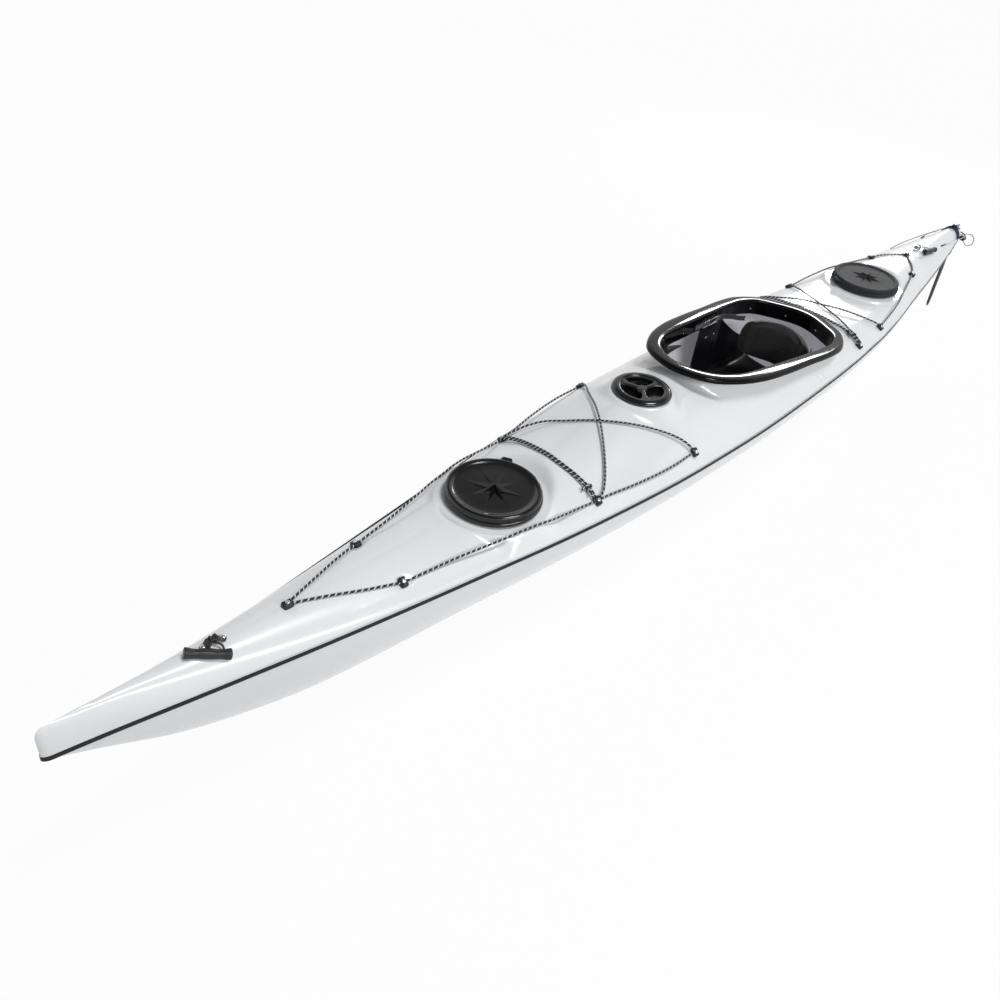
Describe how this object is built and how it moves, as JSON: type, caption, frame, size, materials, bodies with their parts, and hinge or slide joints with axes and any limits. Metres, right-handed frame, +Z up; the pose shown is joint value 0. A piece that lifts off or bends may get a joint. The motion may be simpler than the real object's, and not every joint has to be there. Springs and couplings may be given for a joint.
{
  "type": "sea kayak",
  "caption": "Long decked single-seat sea kayak with a rimmed cockpit, two round hatches, a deck plate, deck lines, grab toggles and a lifting rudder.",
  "frame": {"origin": "middle of the flat keel panel amidships, on its underside", "axes": "+X to the bow, +Y to port, +Z up"},
  "size_m": [4.8023, 0.566, 0.5666],
  "materials": {
    "gelcoat": "smooth white gelcoat",
    "black_plastic": "satin black moulded plastic",
    "dark_laminate": "black laminate, semi-gloss",
    "foam_cover": "black padded fabric",
    "webbing": "woven black webbing",
    "inner_laminate": "unpolished pale laminate",
    "hatch_rubber": "matt dark rubber",
    "deck_line": "braided navy line with pale flecks",
    "steel": "stainless steel",
    "grey_sheath": "grey sheathed wire"
  },
  "bodies": {
    "boat": {"hull_shell": "gelcoat", "deck_shell": "gelcoat", "seam_strip": "black_plastic", "cockpit_coaming": "dark_laminate", "seat": "dark_laminate", "band_strap_port": "webbing", "band_strap_starboard": "webbing", "thigh_brace_port": "black_plastic", "thigh_brace_starboard": "black_plastic", "fore_bulkhead": "inner_laminate", "aft_bulkhead": "inner_laminate", "foot_rail_port": "black_plastic", "foot_rail_starboard": "black_plastic", "bow_hatch_rim": "black_plastic", "stern_hatch_rim": "black_plastic", "deck_plate_ring": "black_plastic", "line_fitting_bow": "black_plastic", "line_fitting_nose_side_port": "black_plastic", "line_fitting_nose_side_starboard": "black_plastic", "line_fitting_hatch_side_port": "black_plastic", "line_fitting_hatch_side_starboard": "black_plastic", "line_fitting_knee_side_port": "black_plastic", "line_fitting_knee_side_starboard": "black_plastic", "line_fitting_back_side_port": "black_plastic", "line_fitting_back_side_starboard": "black_plastic", "line_fitting_aft_side_port": "black_plastic", "line_fitting_aft_side_starboard": "black_plastic", "line_fitting_tail_side_port": "black_plastic", "line_fitting_tail_side_starboard": "black_plastic", "line_fitting_stern": "black_plastic", "fore_perimeter_line": "deck_line", "fore_cross_line_under": "deck_line", "fore_cross_line_over": "deck_line", "fore_double_line": "deck_line", "aft_perimeter_line": "deck_line", "aft_cross_line_under": "deck_line", "aft_cross_line_over": "deck_line", "aft_double_line": "deck_line", "bow_toggle_saddle": "black_plastic", "stern_toggle_saddle": "black_plastic", "rudder_bracket": "black_plastic", "rudder_cable_port": "steel", "rudder_cable_starboard": "steel", "uphaul_line": "deck_line"},
    "back_rest": {"back_band": "foam_cover"},
    "pedal_port": {"foot_pedal_port": "black_plastic"},
    "pedal_starboard": {"foot_pedal_starboard": "black_plastic"},
    "bow_cover": {"bow_hatch_cover": "hatch_rubber"},
    "stern_cover": {"stern_hatch_cover": "hatch_rubber"},
    "plate_seal": {"deck_plate_seal": "hatch_rubber"},
    "plate_lid": {"deck_plate_lid": "black_plastic"},
    "bow_toggle": {"bow_toggle_cord": "deck_line", "bow_toggle_handle": "black_plastic"},
    "stern_toggle": {"stern_toggle_cord": "deck_line", "stern_toggle_handle": "black_plastic"},
    "rudder": {"rudder_yoke": "black_plastic", "rudder_blade_bolt": "steel", "uphaul_loop": "grey_sheath"},
    "blade": {"rudder_blade": "black_plastic"}
  },
  "joints": [
    {"name": "rudder_steer", "type": "hinge", "parent": "boat", "child": "rudder", "pos_m": [-2.366, 0, 0.232], "axis": [0, 0, 1], "range_deg": [-35, 35]},
    {"name": "blade_lift", "type": "hinge", "parent": "rudder", "child": "blade", "pos_m": [-2.36, 0, 0.184], "axis": [0, 1, 0], "range_deg": [0, 88]},
    {"name": "pedal_port_slide", "type": "slide", "parent": "boat", "child": "pedal_port", "axis": [1, 0, 0], "range_m": [-0.03, 0.03]},
    {"name": "pedal_starboard_slide", "type": "slide", "parent": "boat", "child": "pedal_starboard", "axis": [1, 0, 0], "range_m": [-0.03, 0.03]},
    {"name": "bow_cover_lift", "type": "slide", "parent": "boat", "child": "bow_cover", "axis": [0, 0, 1], "range_m": [0, 0.2]},
    {"name": "stern_cover_lift", "type": "slide", "parent": "boat", "child": "stern_cover", "axis": [0, 0, 1], "range_m": [0, 0.2]},
    {"name": "plate_lift", "type": "slide", "parent": "boat", "child": "plate_seal", "axis": [0, 0, 1], "range_m": [0, 0.15]},
    {"name": "plate_turn", "type": "hinge", "parent": "plate_seal", "child": "plate_lid", "pos_m": [0.352, 0, 0.4], "axis": [0, 0, 1], "range_deg": [-90, 0]},
    {"name": "bow_toggle_swing", "type": "hinge", "parent": "boat", "child": "bow_toggle", "pos_m": [1.951, 0, 0.3616], "axis": [0.9977, 0, 0.0671], "range_deg": [0, 120]},
    {"name": "stern_toggle_swing", "type": "hinge", "parent": "boat", "child": "stern_toggle", "pos_m": [-1.848, 0, 0.3444], "axis": [0.9999, 0, -0.0118], "range_deg": [0, 120]},
    {"name": "back_rest_tilt", "type": "hinge", "parent": "boat", "child": "back_rest", "pos_m": [-0.622, 0, 0.15], "axis": [0, 1, 0], "range_deg": [-20, 25]}
  ],
  "couplings": [
    {"joint": "pedal_port_slide", "follows": "rudder_steer", "m_per_rad": -0.044},
    {"joint": "pedal_starboard_slide", "follows": "rudder_steer", "m_per_rad": 0.044}
  ]
}
